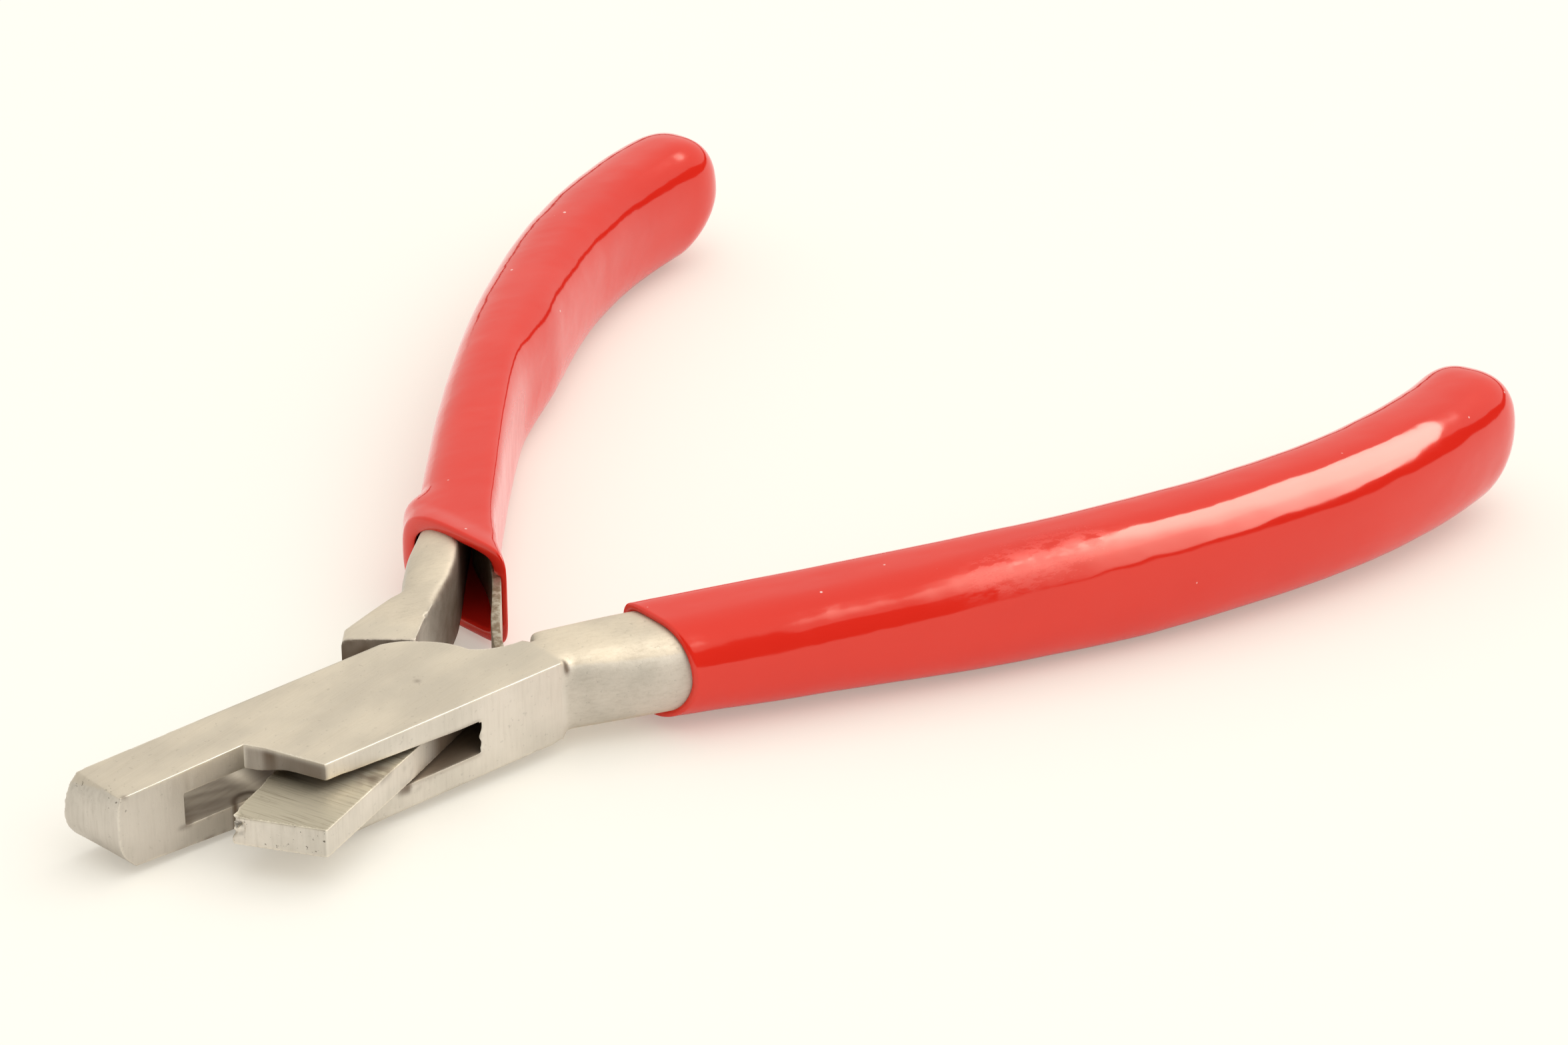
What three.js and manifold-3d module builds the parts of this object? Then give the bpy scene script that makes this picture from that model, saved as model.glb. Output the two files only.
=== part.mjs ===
// Strap notching pliers: a box joint, a slotted die nose, a flat punching blade and two dipped grips.
// Millimetres, +Z up. The origin is on the pivot axis at the underside of the box. The nose points to -X.
// The tongue half is drawn as it lies when the tool is closed and is turned open about the pivot.

import * as THREE from "three";
import { mergeVertices } from "three/addons/utils/BufferGeometryUtils.js";
import Module from "manifold-3d";

// Joint
const OPEN_ANGLE = 26.1; // degrees between the closed and the open handles
const BODY_HEIGHT = 7.6; // thickness of both halves at the joint
const TONGUE_THICKNESS = 2.6;
const TONGUE_CLEARANCE = 0.25; // above and below the tongue in its slot
const PIN_RADIUS = 2.2;
const PIN_FIT = 0.1; // round the pin in the cheeks and in the tongue
const BOSS_RADIUS = 5.7; // round end of the tongue behind the pin
const RUNNING_GAP = 0.3; // in plan, between the two halves where they turn past each other

// Box of the slotted half
const BOX_NEAR = BOSS_RADIUS; // pivot axis to the front face, which the boss comes flush with
const BOX_FAR = 7.0; // pivot axis to the back face
const BOX_REAR = 11.4; // pivot axis to the end of the front face
const BOX_HEEL = 1.2; // how far the box runs on into the shank
const CHEEK_RADIUS = 6.74; // round back corner of the cheeks, about the pivot
const CHEEK_ARC = [12, 51]; // degrees about the pivot where that corner begins and ends
const SHANK_HOLLOW = [8.4, -0.5]; // what the edge bends towards between the corner and the shank
const BACK_HOLLOW = [3.2, 6.5]; // the same between the corner and the back face
const BACK_END = 1.4; // pivot axis to the rear end of the straight back face

// Die nose
const NOSE_LENGTH = 31; // pivot axis to the foremost point
const NOSE_FACE = 1.33; // pivot axis to the die face
const NOSE_FLARE = 0.4; // how far the back face swells out at the tip
const NOSE_DROOP = 0.25; // fall of the top towards the tip
const NOSE_RISE = 0.5; // rise of the underside towards the tip
const NOSE_BROW = [1.5, 6.3]; // bull-nosed end: length on top, and height its upper curve bends at
const NOSE_CHIN = [2.7, 1.7]; // the same underneath
const NOSE_TAPER = 2; // from the throat to where the underside begins to rise
const THROAT_CORNER = 17.1; // pivot axis to the inner corner of the throat
const THROAT_RELIEF = 1.0; // length along X of the flat across that corner
const THROAT_RELIEF_DEPTH = 1.7; // depth along Y of the same flat
const THROAT_MOUTH = 14.0; // pivot axis to the outer corner of the throat
const CHEEK_LIFT = 0.7; // relief under the upper cheek at the mouth of the throat
const CHEEK_LIFT_DEPTH = 3; // how far in from the front face it runs
const SEAT_END = 18; // degrees about the pivot where the seat of the boss opens to the back

// Notching blade, closed
const BLADE_REACH = 21.6; // pivot axis to the leading corner
const BLADE_RAKE = 1.0; // how far the trailing corner lies behind it
const BLADE_EDGE = 6.4; // pivot axis to the cutting edge
const BLADE_BACK = 1.8; // pivot axis to the back of the blade at its end
const BLADE_TAPER = 1.0; // how much wider the blade is at its root
const BLADE_ROOT = 7.0; // pivot axis to where the back swings out to the boss
const BLADE_HOLLOW = 0.4; // how far that swing hollows
const BOSS_JOIN = -115; // degrees about the pivot where it meets the boss
const DIE_CLEARANCE = 0.7; // past the leading corner at the end of the die slot

// Handles: one centreline for both, mirrored for the tongue half
const HANDLE_ROOT_X = 9.0;
const HANDLE_ROOT_Y = 1.4;
const HANDLE_SPLAY = 21.5; // degrees at the root
const HANDLE_SPLAY_PULL = 38;
const HANDLE_TIP_X = 109.6;
const HANDLE_TIP_Y = 21.2;
const HANDLE_HOOK = 22; // degrees at the tip
const HANDLE_HOOK_PULL = 30;
const SHANK_START = 0.022; // where the shank of the slotted half begins, along the centreline
const MOUTH = 0.115; // where the grips begin, along the centreline
const BELLY = 0.52; // where the grips are fullest
const CORE_OUTER = [3.0, 4.0, 4.1, 4.8]; // centreline to the outer side at shank, mouth, belly and tip
const CORE_INNER = [3.4, 4.1, 3.6, 3.9]; // centreline to the inner side
const CORE_HALF = [3.75, 4.0, 5.45, 5.6]; // half the height
const NEAR_SQUARENESS = [4, 2.4, 2.6, 2.6]; // outer side of the near section: 2 is an ellipse
const FAR_SQUARENESS = [20, 3, 2.6, 2.6]; // outer side of the far section
const INNER_SQUARENESS = [9, 6, 2.8, 2.6]; // the flatter inner side of both
const TIP_ROUND = 4.0; // length of the rounded ends
const TIP_BLUNT = 0.4; // share of a step left flat at the very end

// Shank of the tongue half: distances are along and across the root of its centreline
const SHOULDER = 7.04; // pivot axis to the straight shoulder
const SHOULDER_OUTER = 9.1; // centreline to the outer end of the shoulder
const SHOULDER_PLACE = -0.02; // the shoulder, along the centreline
const SHANK_OVERRUN = -0.06; // where the shank is begun, before it is cut off at the shoulder
const TONGUE_BURY = 1; // how far the tongue runs into the shank, and in from its sides
const NECK_OUTER = 4.7; // centreline to the outer side of the neck
const NECK_START = 2.0; // from the shoulder to where the outer side begins to draw in
const NECK_LENGTH = 9.0; // from the shoulder to the neck
const NECK_FLARE = 0.5; // how far it swells again from the neck to the mouth of the grip
const NECK_END = 0.2; // where the neck has run out into the handle, along the centreline
const SHOULDER_INNER = 2.7; // centreline to the inner end of the shoulder, on the outer side
const RECESS_FLOOR = -0.1; // centreline to the floor of the spring recess, on the inner side
const RECESS_END = 0.56; // end of the recess along the centreline

// Grips
const GRIP_WALL = 0.7;
const GRIP_FIT = 0.1; // round the handle core
const GRIP_OVERRUN = 0.06; // how far a grip is begun before its mouth, along the centreline
const WAIST_INNER = 2.0; // centreline to the inner side of the far grip's bore over the spring recess
const WAIST = [0.42, 0.55]; // where that waist swells out again, along the centreline
const LIP_FLARE = 1.7; // how far the waist opens again to its lip
const LIP = [0.08, 0.2]; // where it does so, along the centreline
const NEAR_MOUTH_SKEW = 0; // degrees from square to X
const FAR_MOUTH_SKEW = 22;
const FAR_MOUTH_SETBACK = 1.4; // along the handle, behind the mouth of the near grip

// Leaf spring
const SPRING_THICKNESS = 0.8;
const SPRING_WIDTH = 5.0;
const SPRING_FIT = 0.2; // to the floor of its recess and to the face it bears on
const SPRING_ROOT = 0.46; // inner end of the strip along the centreline
const SPRING_LIFT = 0.2; // where the strip leaves the recess, along the centreline
const SPRING_PAST = 1.0; // the nose of the strip, behind the hollow of the other shank
const SPRING_STAND = 0.35; // how far it stands off the bottom of that hollow
const SPRING_STRAIGHT = [0.35, 0.7]; // shares of its free length held on a straight line
const RIVET_RADIUS = 1.0;
const RIVET_HEAD_RADIUS = 1.8;
const RIVET_HEAD = 0.7;
const RIVET_RIM = [1.4, 0.45]; // edge of its crown: radius, and height over the strip
const RIVET_DEPTH = 2.4; // into the handle core
const RIVET_PLACE = 0.38; // along the centreline

// Fineness
const RING_POINTS = 20;
const HANDLE_STEPS = 24;
const HANDLE_CROWDING = 1.35; // 1 is even: above it the rings crowd towards the shank
const TIP_STEPS = 4;
const ROUND_SEGMENTS = 48;
const SPRING_STEPS = 26;
const OVERCUT = 2; // how far a cutter runs past the face it cuts

const MID = BODY_HEIGHT / 2;
const CLEAR_OF_CORE = 2 * Math.max(...CORE_OUTER, ...CORE_INNER, ...CORE_HALF) + OVERCUT;
const rad = THREE.MathUtils.degToRad;
const wasm = await Module();
wasm.setup();

// Solids and booleans
function solid(geometry) {
  const bare = geometry.clone();
  bare.deleteAttribute("normal");
  bare.deleteAttribute("uv");
  const merged = mergeVertices(bare, 1e-5);
  return new wasm.Manifold(
    new wasm.Mesh({
      numProp: 3,
      vertProperties: new Float32Array(merged.attributes.position.array),
      triVerts: new Uint32Array(merged.index.array),
    }),
  );
}

function geometryOf(manifold) {
  const mesh = manifold.getMesh();
  const geometry = new THREE.BufferGeometry();
  geometry.setAttribute("position", new THREE.BufferAttribute(mesh.vertProperties, 3));
  geometry.setIndex(new THREE.BufferAttribute(mesh.triVerts, 1));
  geometry.computeVertexNormals();
  return geometry;
}

// A plan outline raised between two heights
function plate(shape, low, high) {
  const options = { depth: high - low, bevelEnabled: false, curveSegments: ROUND_SEGMENTS / 2 };
  return solid(new THREE.ExtrudeGeometry(shape, options).translate(0, 0, low));
}

// A side outline, drawn in X and Z, run across the tool
function slab(shape, near, far) {
  const options = { depth: far - near, bevelEnabled: false, curveSegments: ROUND_SEGMENTS / 4 };
  const geometry = new THREE.ExtrudeGeometry(shape, options);
  return solid(geometry.rotateX(Math.PI / 2).translate(0, far, 0));
}

function upright(radius, low, high) {
  const geometry = new THREE.CylinderGeometry(radius, radius, high - low, ROUND_SEGMENTS);
  return solid(geometry.rotateX(Math.PI / 2).translate(0, 0, (low + high) / 2));
}

function outline(points) {
  return new THREE.Shape(points.map(([x, y]) => new THREE.Vector2(x, y)));
}

// Handle centreline in plan: side is -1 for the slotted half and +1 for the tongue half
function centreline(side) {
  const splay = rad(HANDLE_SPLAY);
  const hook = rad(HANDLE_HOOK);
  const root = new THREE.Vector2(HANDLE_ROOT_X, HANDLE_ROOT_Y);
  const tip = new THREE.Vector2(HANDLE_TIP_X, HANDLE_TIP_Y);
  const leave = new THREE.Vector2(Math.cos(splay), Math.sin(splay)).multiplyScalar(HANDLE_SPLAY_PULL);
  const arrive = new THREE.Vector2(Math.cos(hook), -Math.sin(hook)).multiplyScalar(HANDLE_HOOK_PULL);
  const points = [root, root.clone().add(leave), tip.clone().sub(arrive), tip];
  points.forEach((point) => point.setY(point.y * side));
  return new THREE.CubicBezierCurve(...points);
}

// A point at t along the centreline, off to its outer side; past its ends the line runs on straight
function beside(curve, side, t, offset) {
  const along = THREE.MathUtils.clamp(t, 0, 1);
  const tangent = curve.getTangent(along);
  const point = curve.getPoint(along).addScaledVector(tangent, (t - along) * curve.getLength());
  const outward = new THREE.Vector2(-tangent.y, tangent.x).multiplyScalar(side);
  return point.addScaledVector(outward, offset);
}

function ease(t, from, to, a, b) {
  return THREE.MathUtils.lerp(a, b, THREE.MathUtils.smoothstep(t, from, to));
}

// A size that changes smoothly from the shank to the mouth of the grip, to its belly and to the tip
function swell(t, [shank, mouth, belly, tip]) {
  if (t < MOUTH) return ease(t, 0, MOUTH, shank, mouth);
  if (t < BELLY) return ease(t, MOUTH, BELLY, mouth, belly);
  return ease(t, BELLY, 1, belly, tip);
}

// Reach of the handle core from its centreline at t
function core(t) {
  return { outer: swell(t, CORE_OUTER), inner: swell(t, CORE_INNER), half: swell(t, CORE_HALF) };
}

// One ring of a handle: a rounded section across the centreline, standing out from the reach by grow
function ring(curve, side, t, grow, shrink, reachAt) {
  const reach = reachAt(t);
  const points = [];
  for (let i = 0; i < RING_POINTS; i += 1) {
    const angle = ((i + 0.5) / RING_POINTS) * 2 * Math.PI;
    const outside = Math.cos(angle) > 0;
    const outerSquareness = side < 0 ? NEAR_SQUARENESS : FAR_SQUARENESS;
    const power = 2 / swell(t, outside ? outerSquareness : INNER_SQUARENESS);
    const across = Math.sign(Math.cos(angle)) * Math.abs(Math.cos(angle)) ** power;
    const up = Math.sign(Math.sin(angle)) * Math.abs(Math.sin(angle)) ** power;
    const width = ((outside ? reach.outer : reach.inner) + grow) * shrink;
    const place = beside(curve, side, t, across * width);
    points.push([place.x, place.y, MID + up * (reach.half + grow) * shrink]);
  }
  return points;
}

// A closed solid through rings of equal count, with a fan at each end
function loft(rings, turned) {
  const vertices = rings.flat();
  const faces = [];
  const count = RING_POINTS;
  for (let r = 0; r + 1 < rings.length; r += 1) {
    for (let i = 0; i < count; i += 1) {
      const a = r * count + i;
      const b = r * count + ((i + 1) % count);
      faces.push([a, b, b + count], [a, b + count, a + count]);
    }
  }
  const last = (rings.length - 1) * count;
  for (let i = 1; i + 1 < count; i += 1) {
    faces.push([0, i + 1, i], [last, last + i, last + i + 1]);
  }
  const geometry = new THREE.BufferGeometry();
  geometry.setAttribute("position", new THREE.Float32BufferAttribute(vertices.flat(), 3));
  geometry.setIndex(faces.flatMap(([a, b, c]) => (turned ? [a, c, b] : [a, b, c])));
  return solid(geometry);
}

// A handle from t = start to its rounded tip, standing out from the reach by grow
function handle(side, start, grow, reachAt) {
  const curve = centreline(side);
  const round = TIP_ROUND / curve.getLength();
  const stretch = grow / curve.getLength();
  const rings = [];
  for (let i = 0; i <= HANDLE_STEPS; i += 1) {
    const t = THREE.MathUtils.lerp(start, 1 - round, (i / HANDLE_STEPS) ** HANDLE_CROWDING);
    rings.push(ring(curve, side, t, grow, 1, reachAt));
  }
  for (let i = 1; i <= TIP_STEPS; i += 1) {
    const turn = (i / (TIP_STEPS + TIP_BLUNT)) * (Math.PI / 2);
    const t = 1 - round + (round + stretch) * Math.sin(turn);
    rings.push(ring(curve, side, t, grow, Math.cos(turn), reachAt));
  }
  return loft(rings, side < 0);
}

// Slotted half: plan of the nose, box and round back corner
function boxPlan() {
  const [from, to] = CHEEK_ARC.map(rad);
  const corner = [CHEEK_RADIUS * Math.cos(from), CHEEK_RADIUS * Math.sin(from)];
  const shape = new THREE.Shape();
  shape.moveTo(BOX_REAR, -BOX_NEAR);
  shape.lineTo(BOX_REAR + BOX_HEEL, -BOX_NEAR / 2);
  shape.lineTo(BOX_REAR, SHANK_HOLLOW[1]);
  shape.quadraticCurveTo(...SHANK_HOLLOW, ...corner);
  shape.absarc(0, 0, CHEEK_RADIUS, from, to, false);
  shape.quadraticCurveTo(...BACK_HOLLOW, BACK_END, BOX_FAR);
  shape.lineTo(-THROAT_CORNER, BOX_FAR);
  shape.lineTo(-NOSE_LENGTH - OVERCUT, BOX_FAR + NOSE_FLARE);
  shape.lineTo(-NOSE_LENGTH - OVERCUT, NOSE_FACE);
  shape.lineTo(-THROAT_CORNER, NOSE_FACE);
  shape.lineTo(-THROAT_CORNER + THROAT_RELIEF, NOSE_FACE - THROAT_RELIEF_DEPTH);
  shape.lineTo(-THROAT_MOUTH, -BOX_NEAR);
  return shape;
}

// Side of the nose and box: level over the box, drawn in slightly to a bull-nosed tip
function boxSide() {
  const shape = new THREE.Shape();
  shape.moveTo(BOX_REAR + OVERCUT, 0);
  shape.lineTo(BOX_REAR + OVERCUT, BODY_HEIGHT);
  shape.lineTo(-THROAT_CORNER, BODY_HEIGHT);
  shape.lineTo(-NOSE_LENGTH + NOSE_BROW[0], BODY_HEIGHT - NOSE_DROOP);
  shape.quadraticCurveTo(-NOSE_LENGTH, NOSE_BROW[1], -NOSE_LENGTH, MID);
  shape.quadraticCurveTo(-NOSE_LENGTH, NOSE_CHIN[1], -NOSE_LENGTH + NOSE_CHIN[0], NOSE_RISE);
  shape.lineTo(-THROAT_CORNER - NOSE_TAPER, 0);
  return shape;
}

// Plan of the slot: the die window in the nose, the box slot, and the seat of the boss behind the pin
function slotPlan() {
  const die = Math.hypot(BLADE_REACH, BLADE_EDGE) + DIE_CLEARANCE;
  const seat = BOSS_RADIUS + RUNNING_GAP;
  const near = -Math.asin(BOX_NEAR / seat);
  const shape = new THREE.Shape();
  shape.moveTo(-die, -BOX_NEAR - OVERCUT);
  shape.lineTo(seat * Math.cos(near), -BOX_NEAR - OVERCUT);
  shape.absarc(0, 0, seat, near, rad(SEAT_END), false);
  shape.lineTo(2 * BOX_FAR, BOX_FAR);
  shape.lineTo(2 * BOX_FAR, BOX_FAR + NOSE_FLARE + OVERCUT);
  shape.lineTo(-die, BOX_FAR + NOSE_FLARE + OVERCUT);
  return shape;
}

// The upper cheek is relieved underneath, more towards the mouth of the throat
function cheekRelief(slotTop) {
  const shape = outline([
    [-THROAT_MOUTH - OVERCUT, MID],
    [0, MID],
    [0, slotTop],
    [-THROAT_MOUTH, slotTop + CHEEK_LIFT],
    [-THROAT_MOUTH - OVERCUT, slotTop + CHEEK_LIFT],
  ]);
  return slab(shape, -BOX_NEAR - OVERCUT, -BOX_NEAR + CHEEK_LIFT_DEPTH);
}

function slottedHalf() {
  const slotLow = MID - TONGUE_THICKNESS / 2 - TONGUE_CLEARANCE;
  const slotTop = MID + TONGUE_THICKNESS / 2 + TONGUE_CLEARANCE;
  const box = plate(boxPlan(), -OVERCUT, BODY_HEIGHT + OVERCUT)
    .intersect(slab(boxSide(), -BOX_NEAR - OVERCUT, BOX_FAR + NOSE_FLARE + OVERCUT))
    .subtract(plate(slotPlan(), slotLow, slotTop))
    .subtract(cheekRelief(slotTop))
    .subtract(upright(PIN_RADIUS + PIN_FIT, -OVERCUT, BODY_HEIGHT + OVERCUT));
  return box.add(handle(-1, SHANK_START, 0, core));
}

// Tongue half: plan of the tongue, from the shoulder through the box to the blade
function tonguePlan() {
  const back = -BLADE_BACK - BLADE_TAPER;
  const join = rad(BOSS_JOIN);
  const shape = new THREE.Shape();
  shape.moveTo(-BLADE_REACH + BLADE_RAKE, -BLADE_BACK);
  shape.lineTo(-BLADE_ROOT, back);
  const swing = [-BLADE_ROOT / 2, back - BLADE_HOLLOW];
  shape.quadraticCurveTo(...swing, BOSS_RADIUS * Math.cos(join), BOSS_RADIUS * Math.sin(join));
  shape.absarc(0, 0, BOSS_RADIUS, join, rad(HANDLE_SPLAY), false);
  shape.lineTo(...fromShoulder(TONGUE_BURY, SHOULDER_INNER + TONGUE_BURY));
  shape.lineTo(...fromShoulder(TONGUE_BURY, SHOULDER_OUTER - 2 * TONGUE_BURY));
  shape.lineTo(SHOULDER * Math.sin(rad(HANDLE_SPLAY)), BLADE_EDGE);
  shape.lineTo(-BLADE_REACH, BLADE_EDGE);
  return shape;
}

// A point in plan, past the shoulder and out from the centreline
function fromShoulder(past, out) {
  const along = new THREE.Vector2(Math.cos(rad(HANDLE_SPLAY)), Math.sin(rad(HANDLE_SPLAY)));
  const across = new THREE.Vector2(-along.y, along.x);
  const root = new THREE.Vector2(HANDLE_ROOT_X, HANDLE_ROOT_Y);
  const point = along.clone().multiplyScalar(SHOULDER + past);
  point.addScaledVector(across, root.dot(across) + out);
  return [point.x, point.y];
}

// Reach of the tongue half: its outer side is wide at the shoulder and draws in to the neck and the handle
function tongueReach(t) {
  const reach = core(t);
  const length = centreline(1).getLength();
  const past = (t - SHOULDER_PLACE) * length;
  const mouth = (MOUTH - SHOULDER_PLACE) * length;
  const flare = ease(past, NECK_LENGTH, mouth, 0, NECK_FLARE);
  const neck = ease(past, NECK_START, NECK_LENGTH, SHOULDER_OUTER, NECK_OUTER) + flare;
  const outer = ease(t, MOUTH, NECK_END, neck, reach.outer);
  return { ...reach, outer: Math.max(outer, reach.outer) };
}

// Reach of the far grip: it draws in from its lip to a waist over the spring recess
function waistReach(t) {
  const reach = tongueReach(t);
  const lip = ease(t, LIP[0], LIP[1], LIP_FLARE, 0);
  return { ...reach, inner: ease(t, WAIST[0], WAIST[1], WAIST_INNER + lip, reach.inner) };
}

// What the spring recess and the slope of the shank take off the inner side
function recessPlan() {
  const curve = centreline(1);
  const points = [];
  for (let i = 0; i <= SPRING_STEPS; i += 1) {
    const t = THREE.MathUtils.lerp(SHANK_OVERRUN, RECESS_END, i / SPRING_STEPS);
    const inner = ease(t, SHOULDER_PLACE, MOUTH, -SHOULDER_INNER, RECESS_FLOOR);
    const place = beside(curve, 1, t, -inner);
    points.push([place.x, place.y]);
  }
  const far = beside(curve, 1, RECESS_END, -CLEAR_OF_CORE);
  const near = beside(curve, 1, SHANK_OVERRUN, -CLEAR_OF_CORE);
  return outline([...points, [far.x, far.y], [near.x, near.y]]);
}

// Everything on the pivot's side of the straight shoulder
function shoulderCut() {
  const reach = 2 * SHOULDER_OUTER;
  const geometry = new THREE.BoxGeometry(reach, 2 * reach, 2 * BODY_HEIGHT + OVERCUT);
  geometry.translate(SHOULDER - reach / 2, 0, MID);
  return solid(geometry.rotateZ(rad(HANDLE_SPLAY)));
}

function rivetFrame() {
  const curve = centreline(1);
  const tangent = curve.getTangent(RIVET_PLACE);
  const seat = beside(curve, 1, RIVET_PLACE, -RECESS_FLOOR);
  return { seat, turn: Math.atan2(tangent.y, tangent.x) };
}

// Turned about its own axis, then laid across the handle with its head on the inner side
function rivetBody(fit) {
  const { seat, turn } = rivetFrame();
  const under = -SPRING_FIT - SPRING_THICKNESS - SPRING_FIT;
  const profile = [
    [0, RIVET_DEPTH + fit],
    [RIVET_RADIUS + fit, RIVET_DEPTH + fit],
    [RIVET_RADIUS + fit, under],
    [RIVET_HEAD_RADIUS, under],
    [RIVET_RIM[0], under - RIVET_RIM[1]],
    [0, under - RIVET_HEAD],
  ];
  const points = profile.map(([radius, height]) => new THREE.Vector2(radius, -height));
  const geometry = new THREE.LatheGeometry(points, ROUND_SEGMENTS / 2);
  geometry.rotateX(Math.PI).rotateZ(turn).translate(seat.x, seat.y, MID);
  return solid(geometry);
}

function tongueHalf() {
  const low = MID - TONGUE_THICKNESS / 2;
  const shank = handle(1, SHANK_OVERRUN, 0, tongueReach)
    .subtract(plate(recessPlan(), -CLEAR_OF_CORE, BODY_HEIGHT + CLEAR_OF_CORE))
    .subtract(shoulderCut())
    .subtract(rivetBody(SPRING_FIT));
  const tongue = plate(tonguePlan(), low, low + TONGUE_THICKNESS)
    .subtract(upright(PIN_RADIUS + PIN_FIT, -OVERCUT, BODY_HEIGHT + OVERCUT));
  return shank.add(tongue);
}

// Dipped sleeve: closed at the tip, cut off at its mouth on a plane that may be skewed
function grip(side, reachAt, skew, setback) {
  const start = MOUTH - GRIP_OVERRUN;
  const bore = handle(side, start - GRIP_OVERRUN, GRIP_FIT, reachAt);
  const sleeve = handle(side, start, GRIP_FIT + GRIP_WALL, reachAt).subtract(bore);
  const mouth = centreline(side).getPoint(MOUTH);
  const reach = 4 * CLEAR_OF_CORE;
  const cut = new THREE.BoxGeometry(reach, 2 * reach, 2 * reach);
  cut.translate(setback - reach / 2, 0, 0).rotateZ(rad(-skew)).translate(mouth.x, mouth.y, 0);
  return sleeve.subtract(solid(cut));
}

// Where the open spring bears on the other shank, in the frame of the closed tongue half
function springNose() {
  const stand = SPRING_THICKNESS / 2 + SPRING_FIT + SPRING_STAND;
  const nose = new THREE.Vector2(SHANK_HOLLOW[0] + SPRING_PAST, SHANK_HOLLOW[1] + stand);
  return nose.rotateAround(new THREE.Vector2(), rad(-OPEN_ANGLE));
}

// Leaf spring: lies in the recess, leaves it at the mouth of the grip and reaches across to the other shank
function springPath() {
  const curve = centreline(1);
  const floor = -RECESS_FLOOR - SPRING_FIT - SPRING_THICKNESS / 2;
  const places = [SPRING_ROOT, (SPRING_ROOT + SPRING_LIFT) / 2, SPRING_LIFT];
  const seated = places.map((t) => beside(curve, 1, t, floor));
  const nose = springNose();
  const free = SPRING_STRAIGHT.map((share) => seated[2].clone().lerp(nose, share));
  return new THREE.SplineCurve([...seated, ...free, nose]);
}

function leafSpring() {
  const path = springPath();
  const left = [];
  const right = [];
  for (let i = 0; i <= SPRING_STEPS; i += 1) {
    const point = path.getPoint(i / SPRING_STEPS);
    const tangent = path.getTangent(i / SPRING_STEPS);
    const across = new THREE.Vector2(-tangent.y, tangent.x).multiplyScalar(SPRING_THICKNESS / 2);
    left.push([point.x + across.x, point.y + across.y]);
    right.push([point.x - across.x, point.y - across.y]);
  }
  const shape = outline([...left, ...right.reverse()]);
  const strip = plate(shape, MID - SPRING_WIDTH / 2, MID + SPRING_WIDTH / 2);
  return strip.subtract(rivetHole());
}

function rivetHole() {
  const { seat, turn } = rivetFrame();
  const radius = RIVET_RADIUS + SPRING_FIT;
  const geometry = new THREE.CylinderGeometry(radius, radius, 4 * SPRING_THICKNESS, ROUND_SEGMENTS / 2);
  return solid(geometry.rotateZ(turn).translate(seat.x, seat.y, MID));
}

// Finishes
const steel = { color: 0xb9b2a4, roughness: 0.38, metalness: 1 };
const scaledSteel = { color: 0x8d7a62, roughness: 0.55, metalness: 1 };
const redVinyl = { color: 0xd92a22, roughness: 0.25, metalness: 0 };

function piece(name, manifold, finish) {
  const mesh = new THREE.Mesh(geometryOf(manifold), new THREE.MeshStandardMaterial(finish));
  mesh.name = name;
  return mesh;
}

const pliers = new THREE.Group();
pliers.add(
  piece("slotted_half", slottedHalf(), steel),
  piece("pivot_pin", upright(PIN_RADIUS, 0, BODY_HEIGHT), steel),
  piece("near_grip", grip(-1, core, NEAR_MOUTH_SKEW, 0), redVinyl),
);

const movingHalf = new THREE.Group();
movingHalf.rotation.z = rad(OPEN_ANGLE);
movingHalf.add(
  piece("tongue_half", tongueHalf(), steel),
  piece("far_grip", grip(1, waistReach, FAR_MOUTH_SKEW, FAR_MOUTH_SETBACK), redVinyl),
  piece("leaf_spring", leafSpring(), scaledSteel),
  piece("spring_rivet", rivetBody(0), steel),
);
pliers.add(movingHalf);

export default pliers;
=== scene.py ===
"""Looks of strap notching pliers: ground steel, vinyl grips, a leaf spring and a pale studio."""

import math

import bmesh
import bpy
import numpy as np
from bpy.props import FloatProperty, FloatVectorProperty, PointerProperty, StringProperty
from bpy.types import Operator, Panel, PropertyGroup, Scene
from mathutils import Matrix, Vector, noise
from mathutils.bvhtree import BVHTree
from mathutils.kdtree import KDTree


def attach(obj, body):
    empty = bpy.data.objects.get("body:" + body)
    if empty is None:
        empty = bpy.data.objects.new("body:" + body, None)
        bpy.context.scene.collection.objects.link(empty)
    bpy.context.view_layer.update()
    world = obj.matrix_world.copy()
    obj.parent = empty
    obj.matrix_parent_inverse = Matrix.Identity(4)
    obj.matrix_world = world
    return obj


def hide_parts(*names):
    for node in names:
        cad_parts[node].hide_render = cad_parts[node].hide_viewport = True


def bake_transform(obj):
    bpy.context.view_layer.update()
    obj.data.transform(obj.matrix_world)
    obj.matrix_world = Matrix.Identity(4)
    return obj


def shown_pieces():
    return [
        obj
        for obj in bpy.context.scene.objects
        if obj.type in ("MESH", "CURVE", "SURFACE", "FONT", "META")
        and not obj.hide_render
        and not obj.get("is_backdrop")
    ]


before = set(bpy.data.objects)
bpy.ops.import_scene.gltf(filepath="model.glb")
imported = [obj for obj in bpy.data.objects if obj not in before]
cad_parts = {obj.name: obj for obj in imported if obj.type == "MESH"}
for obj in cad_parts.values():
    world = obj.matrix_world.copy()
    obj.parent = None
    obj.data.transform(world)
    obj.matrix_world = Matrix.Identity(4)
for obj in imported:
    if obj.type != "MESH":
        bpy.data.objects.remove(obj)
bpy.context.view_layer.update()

bl_info = {
    "name": "Strap Notching Pliers",
    "version": (1, 0, 0),
    "blender": (4, 5, 0),
    "location": "View3D > Sidebar > Pliers",
    "description": "Dresses the solids of box-joint notching pliers and lights them in a pale studio",
    "category": "Object",
}

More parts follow.
